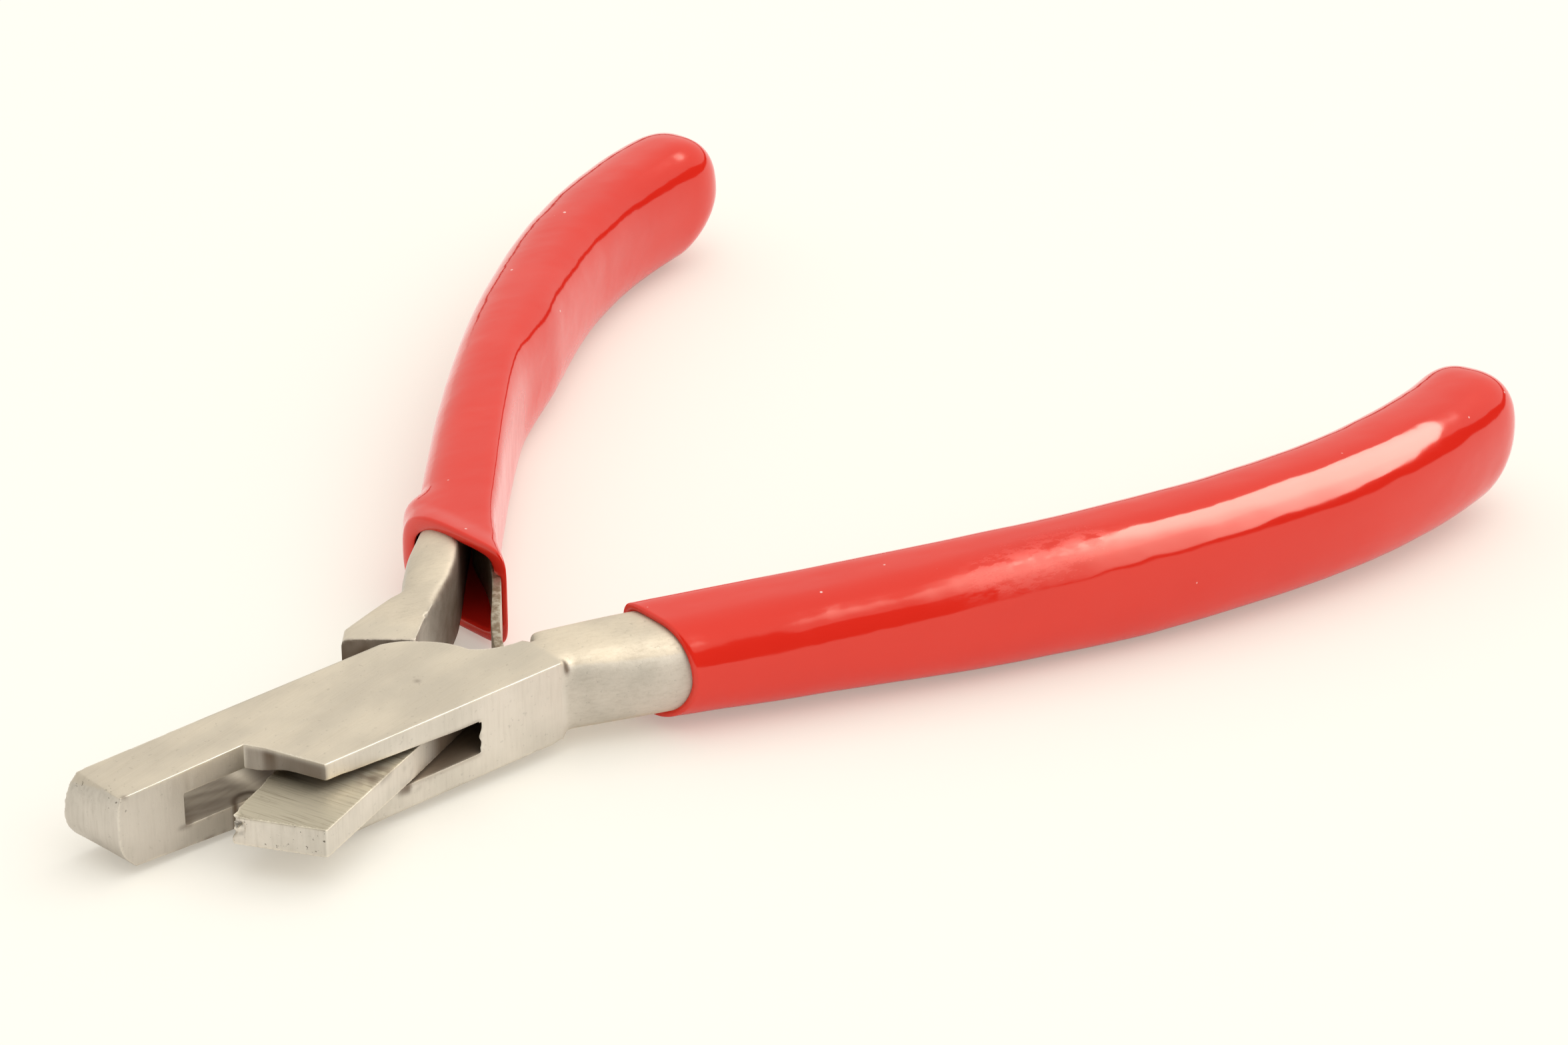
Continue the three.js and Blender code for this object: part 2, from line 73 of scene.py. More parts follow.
MM = 0.001
OPEN_TURN = math.radians(26.1)  # the tongue half, from closed to the rest pose
BODY_HEIGHT = 7.6
MID = BODY_HEIGHT / 2
BACK_TURN = math.radians(22.9)  # the back of the blade, from the front face of the box
PIN_RADIUS = 2.2
RING_POINTS = 96  # round a plug or a grip

# Handle centreline and sections, in millimetres, as the solids have them: shank, mouth, belly and tip
ROOT = (9.0, 1.4)
SPLAY, SPLAY_PULL = math.radians(21.5), 38.0
TIP = (109.6, 21.2)
HOOK, HOOK_PULL = math.radians(22.0), 30.0
HANDLE_LENGTH = 105.2
MOUTH, BELLY = 0.115, 0.52
CORE_OUTER = (3.0, 4.0, 4.1, 4.8)
CORE_INNER = (3.4, 4.1, 3.6, 3.9)
CORE_HALF = (3.75, 4.0, 5.45, 5.6)
NEAR_SQUARENESS = (4.0, 2.2, 2.5, 2.6)
FAR_SQUARENESS = (20.0, 3.0, 2.6, 2.6)
INNER_SQUARENESS = (9.0, 6.0, 2.8, 2.6)
NECK_OUTER, NECK_FLARE, NECK_END = 4.7, 0.5, 0.2
WAIST_INNER, WAIST = 2.0, (0.42, 0.55)
LIP_FLARE, LIP = 1.7, (0.08, 0.2)

# Fine mesh of the steel halves
RIDGE_ANGLE, SHARP_ANGLE = math.radians(30), math.radians(38)
EDGE_STEP = 0.4  # one smoothing of everything, which breaks the edges
SOFT_STEP, SOFT_ROUNDS = 0.55, 36  # smoothing of what is dressed by hand

# Marks of wear and dirt, and a notch's painted shade, as ellipsoids: middles and half sizes, in millimetres
BLOTS = {
    "box nick": ((11.6, -5.6, 6.9), (0.45, 0.9, 1.0)),
    "slot dirt": ((-5.2, -5.8, 2.0), (2.6, 0.6, 0.9)),
    "nose spot": ((-29.0, 1.35, 7.35), (1.0, 1.0, 1.0)),
    "blade chip": ((-21.6, 6.4, MID + 0.6), (1.5, 1.5, 1.6)),
    "blade root": ((-11.2, -1.3, MID + 1.3), (3.0, 2.0, 0.8)),
    "blade entry": ((-5.4, -6.1, 3.6), (2.2, 0.7, 1.6)),
    "handled patch": ((49.5, -22.5, 9.3), (13.0, 6.0, 3.5)),
}

# Camera, as fitted to the photograph: place in metres, and the turn and rise of its view in degrees
CAMERA_PLACE = (-0.2181, -0.2921, 0.220)
CAMERA_VIEW = (48.4, -28.5)


def srgb(text):
    """A hex colour as Blender's linear red, green, blue and alpha."""
    parts = [int(text[i:i + 2], 16) / 255 for i in (1, 3, 5)]
    return [c / 12.92 if c <= 0.04045 else ((c + 0.055) / 1.055) ** 2.4 for c in parts] + [1.0]


def add(tree, kind, inputs=None, out=0, **settings):
    """Adds a node with its settings, fills or links its inputs, and hands back one of its outputs."""
    made = tree.nodes.new(kind)
    for name, value in settings.items():
        setattr(made, name, value)
    for name, value in (inputs or {}).items():
        if isinstance(value, bpy.types.NodeSocket):
            tree.links.new(value, made.inputs[name])
        else:
            made.inputs[name].default_value = value
    return made.outputs[out] if made.outputs else None


def new_material(name):
    """An empty node material and its tree."""
    material = bpy.data.materials.new(name)
    material.use_nodes = True
    material.node_tree.nodes.clear()
    return material, material.node_tree


# Smooth ramps
def ramp(x, start, end):
    """Smoothly from 0 at start to 1 at end, for numbers and arrays."""
    u = np.clip((np.asarray(x, float) - start) / (end - start), 0, 1)
    return u * u * (3 - 2 * u)


def band(x, start, full, fade, end):
    """From 0 at start to 1 between full and fade, and back to 0 at end."""
    return ramp(x, start, full) * ramp(x, end, fade)


# Curves and sections of the handles
def centreline(t):
    """A point and a unit tangent on the handle's centreline, for the tongue half when closed."""
    a = np.array(ROOT)
    d = np.array(TIP)
    b = a + SPLAY_PULL * np.array((math.cos(SPLAY), math.sin(SPLAY)))
    c = d - HOOK_PULL * np.array((math.cos(HOOK), -math.sin(HOOK)))
    u = min(max(t, 0.0), 1.0)
    v = 1 - u
    point = v ** 3 * a + 3 * v * v * u * b + 3 * v * u * u * c + u ** 3 * d
    slope = 3 * (v * v * (b - a) + 2 * v * u * (c - b) + u * u * (d - c))
    tangent = slope / np.linalg.norm(slope)
    return point + tangent * (t - u) * HANDLE_LENGTH, tangent


def ease(t, start, end, a, b):
    """Smoothly from a to b as t goes from start to end."""
    return a + (b - a) * ramp(t, start, end)


def swell(t, sizes):
    """A size that changes from shank to mouth, belly and tip."""
    shank, mouth, belly, tip = sizes
    if t < MOUTH:
        return ease(t, 0, MOUTH, shank, mouth)
    if t < BELLY:
        return ease(t, MOUTH, BELLY, mouth, belly)
    return ease(t, BELLY, 1, belly, tip)


def grip_reach(side, t):
    """Outer, inner and upward reach of a bore from the centreline: the far one has a waist and a lip."""
    outer, inner, half = swell(t, CORE_OUTER), swell(t, CORE_INNER), swell(t, CORE_HALF)
    if side > 0:
        neck = NECK_OUTER + ease(t, MOUTH, MOUTH + 0.03, 0.1, NECK_FLARE)
        outer = max(outer, ease(t, MOUTH + 0.03, NECK_END, neck, outer))
        inner = ease(t, *WAIST, WAIST_INNER + ease(t, *LIP, LIP_FLARE, 0), inner)
    return outer, inner, half


def grip_ring(side, t, grow, shrink):
    """One ring of a grip on the closed tool, standing out from the bore by grow."""
    outer, inner, half = grip_reach(side, t)
    outer_power = 2 / swell(t, NEAR_SQUARENESS if side < 0 else FAR_SQUARENESS)
    inner_power = 2 / swell(t, INNER_SQUARENESS)
    point, tangent = centreline(t)
    outward = np.array((-tangent[1], tangent[0]))
    ring = []
    for i in range(RING_POINTS):
        angle = 2 * math.pi * i / RING_POINTS
        c, s = math.cos(angle), math.sin(angle)
        reach, power = (outer, outer_power) if c > 0 else (inner, inner_power)
        across = math.copysign(abs(c) ** power, c) * (reach + grow) * shrink
        up = math.copysign(abs(s) ** power, s) * (half + grow) * shrink
        x, y = point + outward * across
        ring.append((x, side * y, MID + up))
    return ring


def turned(points, angle):
    """Points turned about the pivot."""
    c, s = math.cos(angle), math.sin(angle)
    x, y, z = np.asarray(points, float).T
    return np.stack([x * c - y * s, x * s + y * c, z], 1)


def open_out(points):
    """Points of the closed tongue half, turned to the rest pose."""
    return turned(points, OPEN_TURN)


def closed(points):
    """Points of the rest pose, turned back to the closed tongue half."""
    return turned(points, -OPEN_TURN)


# Meshes
def blot(points, name):
    """How far points lie from the middle of a mark, with 1 at its rim."""
    middle, sizes = BLOTS[name]
    return np.linalg.norm((points - np.array(middle)) / sizes, axis=1)


def linked(name, data):
    """A new object at the origin of the scene."""
    made = bpy.data.objects.new(name, data)
    bpy.context.scene.collection.objects.link(made)
    return made


def read(items, name, width, kind=float):
    """One property of a mesh's points or edges, as the rows of an array."""
    values = np.empty(len(items) * width, kind)
    items.foreach_get(name, values)
    return values.reshape(-1, width)


def applied(held):
    """A new mesh of an object with its modifiers applied."""
    return bpy.data.meshes.new_from_object(held.evaluated_get(bpy.context.evaluated_depsgraph_get()))


def set_mask(made, name, values):
    """Stores a mask at the mesh's points."""
    held = made.data.attributes.new(name, "FLOAT", "POINT")
    held.data.foreach_set("value", np.asarray(values, np.float32))


def grain(points, size, seed):
    """Smooth noise from -1 to 1 at each point, with grains of about size millimetres."""
    shift = Vector((seed * 7.31, seed * 3.17, seed * 1.93))
    return np.array([noise.noise(Vector(p) / size + shift) for p in points])


def neighbour_mean(values, edges, degree):
    """The mean of each point's neighbours, for one or more columns."""
    columns = np.asarray(values, float).reshape(len(degree), -1)
    total = np.zeros_like(columns)
    for i in range(columns.shape[1]):
        total[:, i] += np.bincount(edges[:, 0], columns[edges[:, 1], i], len(degree))
        total[:, i] += np.bincount(edges[:, 1], columns[edges[:, 0], i], len(degree))
    return (total / degree[:, None]).reshape(np.shape(values))


def spread(values, edges, degree, times):
    """A mask averaged over neighbours a number of times."""
    for _ in range(times):
        values = 0.5 * values + 0.5 * neighbour_mean(values, edges, degree)
    return values


def node_copy(name):
    """A merged copy of a solid's mesh, in millimetres."""
    work = bmesh.new()
    work.from_mesh(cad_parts[name].data)
    bmesh.ops.scale(work, vec=(1 / MM,) * 3, verts=work.verts)
    bmesh.ops.remove_doubles(work, verts=work.verts, dist=1e-4)
    return work


def cut_off(work, point, normal):
    """Keeps what lies behind a plane and closes the cut."""
    geometry = work.verts[:] + work.edges[:] + work.faces[:]
    bmesh.ops.bisect_plane(work, geom=geometry, plane_co=point, plane_no=normal, clear_outer=True)
    open_edges = [e for e in work.edges if e.is_boundary]
    if not open_edges:
        raise RuntimeError("the cut missed the solid")
    bmesh.ops.holes_fill(work, edges=open_edges)
    bmesh.ops.recalc_face_normals(work, faces=work.faces)


def add_plug(work, radius, low, high):
    """Adds a round plug on the pivot axis, so that the ground face has no seam."""
    bmesh.ops.create_cone(work, cap_ends=True, segments=RING_POINTS, radius1=radius, radius2=radius,
                          depth=high - low, matrix=Matrix.Translation((0, 0, (low + high) / 2)))


def add_loft(work, rings):
    """Adds a closed skin over a row of rings."""
    rows = [[work.verts.new(p) for p in ring] for ring in rings]
    count = len(rows[0])
    made = [work.faces.new((a[i], a[(i + 1) % count], b[(i + 1) % count], b[i]))
            for a, b in zip(rows[:-1], rows[1:]) for i in range(count)]
    made += [work.faces.new(rows[0]), work.faces.new(rows[-1])]
    bmesh.ops.recalc_face_normals(work, faces=made)


def sharp_edges(work, spacing):
    """Points along the sharp edges of a shape, for looking up the nearest."""
    spots = []
    for edge in work.edges:
        if len(edge.link_faces) == 2 and edge.calc_face_angle() > RIDGE_ANGLE:
            start, end = (v.co for v in edge.verts)
            count = math.ceil((end - start).length / spacing)
            spots += [start.lerp(end, i / count) for i in range(count + 1)]
    tree = KDTree(len(spots))
    for i, place in enumerate(spots):
        tree.insert(place, i)
    tree.balance()
    return tree


def worn_steel(name, work, voxel, soft):
    """A fine even mesh over a closed shape: true flats, barely broken edges, and soft where it is round."""
    mesh = bpy.data.meshes.new(name)
    work.to_mesh(mesh)
    surface = BVHTree.FromBMesh(work)
    ridges = sharp_edges(work, voxel / 4)
    work.free()
    held = linked(name, mesh)
    remesh = held.modifiers.new("grain", "REMESH")
    remesh.mode = "VOXEL"
    remesh.voxel_size = voxel
    fine = applied(held)
    held.modifiers.clear()
    held.data = fine
    bpy.data.meshes.remove(mesh)
    fine.name = name
    fine.materials.append(bpy.data.materials["ground_carbon_steel"])
    fine.shade_smooth()
    points = read(fine.vertices, "co", 3)
    edges = read(fine.edges, "vertices", 2, np.int64)
    degree = np.maximum(np.bincount(edges.ravel(), minlength=len(points)), 1)
    share = soft(points)
    for i in np.nonzero(share < 0.5)[0]:
        ridge, _, far = ridges.find(Vector(points[i]))
        place = ridge if far < 0.6 * voxel else surface.find_nearest(Vector(points[i]), voxel)[0]
        if place is not None:
            points[i] = place
    points += EDGE_STEP * (neighbour_mean(points, edges, degree) - points)
    for _ in range(SOFT_ROUNDS):
        points += SOFT_STEP * share[:, None] * (neighbour_mean(points, edges, degree) - points)
    return held, points, edges, degree


def finish_steel(held, points, edges, degree, masks):
    """Puts the points back in metres and stores the masks, with the rubbed edges, partly wear and partly a
    painted highlight, and the upright faces.
    """
    mesh = held.data
    mesh.vertices.foreach_set("co", (points * MM).ravel())
    mesh.update()
    mesh.set_sharp_from_angle(angle=SHARP_ANGLE)
    normals = read(mesh.vertices, "normal", 3)
    ridge = ((points - neighbour_mean(points, edges, degree)) * normals).sum(1)
    patchy = 0.55 + 0.6 * grain(points, 2.2, 21)
    # a brighter line along the sharp ridges, in patches: partly rubbed wear, partly a painted highlight
    set_mask(held, "worn_glint", 0.8 * np.clip((ridge - 0.014) / 0.03, 0, 1) * np.clip(patchy, 0, 1))
    set_mask(held, "upright", spread((np.abs(normals[:, 2]) < 0.6).astype(float), edges, degree, 2))
    for name, values in masks.items():
        set_mask(held, name, np.clip(values, 0, 1))


def normals_of(held, points):
    """Point normals for a mesh worked in millimetres."""
    held.data.vertices.foreach_set("co", points.ravel())
    held.data.update()
    return read(held.data.vertices, "normal", 3)


# Finishes
def ground_steel(props):
    """Forged carbon steel, surface-ground and left bare: grey satin with fine lines, bright burrs partly
    painted as a highlight, and brown stains with painted shade in recesses.
    """
    material, tree = new_material("ground_carbon_steel")
    place = add(tree, "ShaderNodeTexCoord", out="Object")
    mask = {name: add(tree, "ShaderNodeAttribute", out="Fac", attribute_name=name)
            for name in ("upright", "blade", "worn_glint", "stain_and_shade", "pitted", "dressed")}
    grains = {}
    # sizes in mm; grit of about 0.1 mm is too fine to show, so the lines are drawn three times as wide
    for name, size, turn, detail, roughness in (
            ("side", (0.3, 0.3, 4.0), 0.0, 4.0, 0.65),
            ("top", (9.0, 0.35, 1.0), math.radians(12), 4.0, 0.65),
            ("blade", (0.24, 7.0, 1.0), OPEN_TURN - math.radians(8), 4.0, 0.7),
            ("cloud", (8.0, 5.0, 6.0), math.radians(12), 3.0, 0.5),
            ("grit", (0.8, 0.3, 0.3), -SPLAY, 5.0, 0.75),
            ("pits", (0.45, 0.45, 0.45), 0.0, 4.0, 0.6)):
        held = add(tree, "ShaderNodeMapping",
                   {"Vector": place, "Rotation": (0, 0, turn), "Scale": [MM * s for s in size]},
                   vector_type="TEXTURE")
        grains[name] = add(tree, "ShaderNodeTexNoise",
                           {"Vector": held, "Scale": 1.0, "Detail": detail, "Roughness": roughness})
    pits = grains["pits"]
    flat_lines = add(tree, "ShaderNodeMix", {0: mask["blade"], 2: grains["top"], 3: grains["blade"]})
    ground = add(tree, "ShaderNodeMix", {0: mask["upright"], 2: flat_lines, 3: grains["side"]})
    lines = add(tree, "ShaderNodeMix", {0: mask["dressed"], 2: ground, 3: grains["grit"]})
    mottle = add(tree, "ShaderNodeMapRange", {0: grains["cloud"], 1: 0.32, 2: 0.68},
                 interpolation_type="SMOOTHSTEP")
    warm, cool = [add(tree, "ShaderNodeMix", {0: mottle, 6: srgb(low), 7: srgb(high)}, 2, data_type="RGBA")
                  for low, high in (("#C9BFAF", "#D8CDBB"), ("#C9C2B6", "#D8D0C4"))]
    depth = add(tree, "ShaderNodeMix", {0: mask["blade"], 2: 0.06, 3: 0.6})
    dark = add(tree, "ShaderNodeMapRange", {0: lines, 1: 0.46, 2: 0.72, 4: depth},
               interpolation_type="SMOOTHSTEP")
    hole = add(tree, "ShaderNodeMapRange", {0: pits, 1: 0.37, 2: 0.31}, interpolation_type="SMOOTHSTEP")
    hole = add(tree, "ShaderNodeMath", {0: hole, 1: mask["pitted"]}, operation="MULTIPLY")
    colour = warm
    # F6EEDF on the edges is partly rubbed wear and partly a painted highlight; #594124 is brown stains and
    # oxide, and also painted shade in the slot, the throat and the joint
    for share, layer in ((mask["upright"], cool), (mask["blade"], srgb("#BDB5A3")), (dark, srgb("#7E7463")),
                         (hole, srgb("#4A4236")), (mask["worn_glint"], srgb("#F6EEDF")),
                         (mask["stain_and_shade"], srgb("#594124"))):
        colour = add(tree, "ShaderNodeMix", {0: share, 6: colour, 7: layer}, 2, data_type="RGBA")
    # stains and painted shade alike turn matt brown rather than bare metal
    metal = add(tree, "ShaderNodeMapRange", {0: mask["stain_and_shade"], 3: 1.0, 4: 0.1})
    dull = add(tree, "ShaderNodeMath", {0: mask["blade"], 1: mask["stain_and_shade"]}, operation="MAXIMUM")
    dull = add(tree, "ShaderNodeMath", {0: dull, 1: 0.7, 2: mask["dressed"]}, operation="MULTIPLY_ADD")
    dull = add(tree, "ShaderNodeMapRange", {0: dull, 4: 0.22})
    scratch = add(tree, "ShaderNodeMapRange", {0: mask["dressed"], 3: 0.25, 4: 0.15})
    gloss = add(tree, "ShaderNodeMapRange", {0: lines, 1: 0.3, 2: 0.7,
                                             3: props.roughness - 0.04, 4: props.roughness + 0.12})
    gloss = add(tree, "ShaderNodeMath", {0: gloss, 1: dull}, operation="ADD")
    broken = add(tree, "ShaderNodeBevel", {"Radius": 0.08 * MM}, samples=4)
    fine = add(tree, "ShaderNodeBump",
               {"Strength": scratch, "Distance": 0.012 * MM, "Height": lines, "Normal": broken}, "Normal")
    rough = add(tree, "ShaderNodeMapRange", {0: mask["pitted"], 3: 0.12, 4: 0.9})
    bump = add(tree, "ShaderNodeBump",
               {"Strength": rough, "Distance": 0.08 * MM, "Height": pits, "Normal": fine}, "Normal")
    shader = add(tree, "ShaderNodeBsdfPrincipled",
                 {"Base Color": colour, "Metallic": metal, "Roughness": gloss, "Normal": bump})
    add(tree, "ShaderNodeOutputMaterial", {"Surface": shader})
    return material


def dipped_vinyl(props):
    """Plasticised PVC, dipped hot: glossy red with an uneven skin, a handled matt patch and dust specks."""
    material, tree = new_material("dipped_red_vinyl")
    place = add(tree, "ShaderNodeTexCoord", out="Object")
    handled = add(tree, "ShaderNodeAttribute", out="Fac", attribute_name="handled")
    grains = {}
    for name, size, turn, detail, roughness in (
            ("cloud", (16.0, 9.0, 9.0), 0.0, 2.0, 0.5),
            ("skin", (7.0, 4.0, 4.0), math.radians(-15), 2.0, 0.5),
            ("fine", (0.5, 0.5, 0.5), 0.0, 3.0, 0.5),
            ("smear", (1.6, 0.7, 0.5), math.radians(-24), 5.0, 0.75)):
        held = add(tree, "ShaderNodeMapping",
                   {"Vector": place, "Rotation": (0, 0, turn), "Scale": [MM * s for s in size]},
                   vector_type="TEXTURE")
        grains[name] = add(tree, "ShaderNodeTexNoise",
                           {"Vector": held, "Scale": 1.0, "Detail": detail, "Roughness": roughness})
    smear = add(tree, "ShaderNodeMapRange", {0: grains["smear"], 1: 0.36, 2: 0.62},
                interpolation_type="SMOOTHSTEP")
    matt = add(tree, "ShaderNodeMath", {0: handled, 1: smear}, operation="MULTIPLY")
    cells = add(tree, "ShaderNodeMapping", {"Vector": place, "Scale": (4.6 * MM,) * 3},
                vector_type="TEXTURE")
    dots = add(tree, "ShaderNodeTexVoronoi", {"Vector": cells, "Scale": 1.0}, "Distance")
    speck = add(tree, "ShaderNodeMapRange", {0: dots, 1: 0.04, 2: 0.022}, interpolation_type="SMOOTHSTEP")
    haze = add(tree, "ShaderNodeMapRange", {0: matt, 4: 0.03})
    colour = srgb(props.deep)
    for share, layer in ((grains["cloud"], props.full), (haze, "#F0A79C"), (speck, "#F6C9C0")):
        colour = add(tree, "ShaderNodeMix", {0: share, 6: colour, 7: srgb(layer)}, 2, data_type="RGBA")
    rough = add(tree, "ShaderNodeMapRange", {0: matt, 3: props.roughness, 4: props.roughness + 0.38})
    wave = add(tree, "ShaderNodeBump",
               {"Strength": 0.35, "Distance": 0.3 * MM, "Height": grains["skin"]}, "Normal")
    bump = add(tree, "ShaderNodeBump",
               {"Strength": 0.06, "Distance": 0.05 * MM, "Height": grains["fine"], "Normal": wave},
               "Normal")
    shader = add(tree, "ShaderNodeBsdfPrincipled",
                 {"Base Color": colour, "Roughness": rough, "IOR": 1.53, "Specular Tint": srgb("#FFFCEC"),
                  "Normal": bump})
    add(tree, "ShaderNodeOutputMaterial", {"Surface": shader})
    return material


def tempered_strip():
    """Spring steel strip, sheared and tempered: dull grey faces with brown scale on the upper edge."""
    material, tree = new_material("tempered_spring_steel")
    place = add(tree, "ShaderNodeTexCoord", out="Object")
    grains = {}
    for name, size, detail, roughness in (("flake", 0.8, 4.0, 0.65), ("cloud", 3.0, 2.0, 0.5)):
        held = add(tree, "ShaderNodeMapping", {"Vector": place, "Scale": (size * MM,) * 3},
                   vector_type="TEXTURE")
        grains[name] = add(tree, "ShaderNodeTexNoise",
                           {"Vector": held, "Scale": 1.0, "Detail": detail, "Roughness": roughness})
    flake = grains["flake"]
    upward = add(tree, "ShaderNodeSeparateXYZ", {0: add(tree, "ShaderNodeNewGeometry", out="Normal")}, "Z")
    edge = add(tree, "ShaderNodeMapRange", {0: upward, 1: 0.3, 2: 0.8, 3: 0.05, 4: 0.7})
    rust = add(tree, "ShaderNodeMapRange", {0: flake, 1: 0.36, 2: 0.6}, interpolation_type="SMOOTHSTEP")
    rust = add(tree, "ShaderNodeMath", {0: rust, 1: edge}, operation="MULTIPLY")
    colour = srgb("#A59B8A")
    for share, layer in ((grains["cloud"], "#CDC2AE"), (rust, "#6A4E2E")):
        colour = add(tree, "ShaderNodeMix", {0: share, 6: colour, 7: srgb(layer)}, 2, data_type="RGBA")
    gloss = add(tree, "ShaderNodeMapRange", {0: flake, 1: 0.3, 2: 0.7, 3: 0.36, 4: 0.6})
    bump = add(tree, "ShaderNodeBump", {"Strength": 0.4, "Distance": 0.03 * MM, "Height": flake}, "Normal")
    shader = add(tree, "ShaderNodeBsdfPrincipled",
                 {"Base Color": colour, "Metallic": 1.0, "Roughness": gloss, "Normal": bump})
    add(tree, "ShaderNodeOutputMaterial", {"Surface": shader})
    return material


def pale_paper(props):
    """Matt background paper, slightly warm; seen from below it lets the view through."""
    material, tree = new_material("pale_background_paper")
    back = add(tree, "ShaderNodeNewGeometry", out="Backfacing")
    path = tree.nodes.new("ShaderNodeLightPath").outputs
    seen = path["Is Camera Ray"]
    paper = list(props.floor) + [1.0]
    warm = add(tree, "ShaderNodeMix", {0: seen, 6: srgb("#F8F6F0"), 7: paper}, 2, data_type="RGBA")
    matt = add(tree, "ShaderNodeBsdfDiffuse", {"Color": warm})
    pale = add(tree, "ShaderNodeEmission", {"Color": paper, "Strength": 1.0})
    lift = add(tree, "ShaderNodeMapRange", {0: seen, 4: props.lift})
    lifted = add(tree, "ShaderNodeMixShader", {0: lift, 1: matt, 2: pale})
    over = add(tree, "ShaderNodeMath", {0: path["Is Glossy Ray"], 1: props.bounce}, operation="MULTIPLY")
    gleam = add(tree, "ShaderNodeEmission", {"Color": paper, "Strength": over})
    lifted = add(tree, "ShaderNodeAddShader", {0: lifted, 1: gleam})
    clear = add(tree, "ShaderNodeBsdfTransparent")
    shown = add(tree, "ShaderNodeMixShader", {0: back, 1: lifted, 2: clear})
    add(tree, "ShaderNodeOutputMaterial", {"Surface": shown})
    material.cycles.emission_sampling = "NONE"
    return material


# Sizes and colours a user would change
class SteelSettings(PropertyGroup):
    """Ground steel of both halves."""
    voxel: FloatProperty(name="Grain", description="Spacing of the fine mesh, in mm",
                         default=0.175, min=0.1)
    roughness: FloatProperty(name="Roughness", description="Of the ground faces",
                             default=0.43, subtype="FACTOR")
    chip: FloatProperty(name="Chip", description="Depth of the chipped blade corner, in mm", default=1.0)


class GripSettings(PropertyGroup):
    """Dipped grips."""
    wall: FloatProperty(name="Wall", description="Reach of the skin from the handle core, in mm",
                        default=0.68)
    near_lip: FloatProperty(name="Near lip", description="Reach of the near grip's lip, in mm",
                            default=0.55)
    far_lip: FloatProperty(name="Far lip", description="Reach of the far grip's rolled lip, in mm",
                           default=0.9)
    tip_round: FloatProperty(name="Tip", description="Length of the rounded tip, in mm", default=7.0)
    depth: FloatProperty(name="Bore depth", description="Along the centreline",
                         default=0.3, subtype="FACTOR")
    roughness: FloatProperty(name="Roughness", description="Of the clean vinyl",
                             default=0.11, subtype="FACTOR")
    deep: StringProperty(name="Deep red", description="sRGB hex", default="#D62115")
    full: StringProperty(name="Full red", description="sRGB hex", default="#E12B1B")


class SpringSettings(PropertyGroup):
    """Leaf spring."""
    thickness: FloatProperty(name="Thickness", description="Of the strip, in mm", default=0.8)
    width: FloatProperty(name="Width", description="Of the strip, in mm", default=5.0)
    edge: FloatProperty(name="Edge", description="Radius of the sheared edges, in mm", default=0.12)


class StageSettings(PropertyGroup):
    """Floor, light and camera."""
    floor: FloatVectorProperty(name="Floor", description="Paper colour, linear", subtype="COLOR",
                               default=srgb("#FDF8EC")[:3], min=0, max=1)
    lean: FloatProperty(name="Lean", description="How far the tool tips forward onto its nose",
                        default=math.radians(1.5), subtype="ANGLE")
    lift: FloatProperty(name="Lift", description="How far the paper's shadows fade to the paper's colour",
                        default=0.32, subtype="FACTOR")
    fill: FloatProperty(name="Fill", description="Light from all round", default=0.82)
    key: FloatProperty(name="Key", description="Softbox power on matt surfaces, in watts", default=15.0)
    shine: FloatProperty(name="Shine", description="Softbox brightness reflected by the vinyl alone",
                         default=4.0)
    glint: FloatProperty(name="Glint", description="Softbox brightness reflected by every piece",
                         default=6.5)
    bounce: FloatProperty(name="Bounce", description="Extra brightness of the paper in reflections",
                          default=0.13)
    lens: FloatProperty(name="Lens", description="Focal length on a 36 mm sensor", default=114.8)


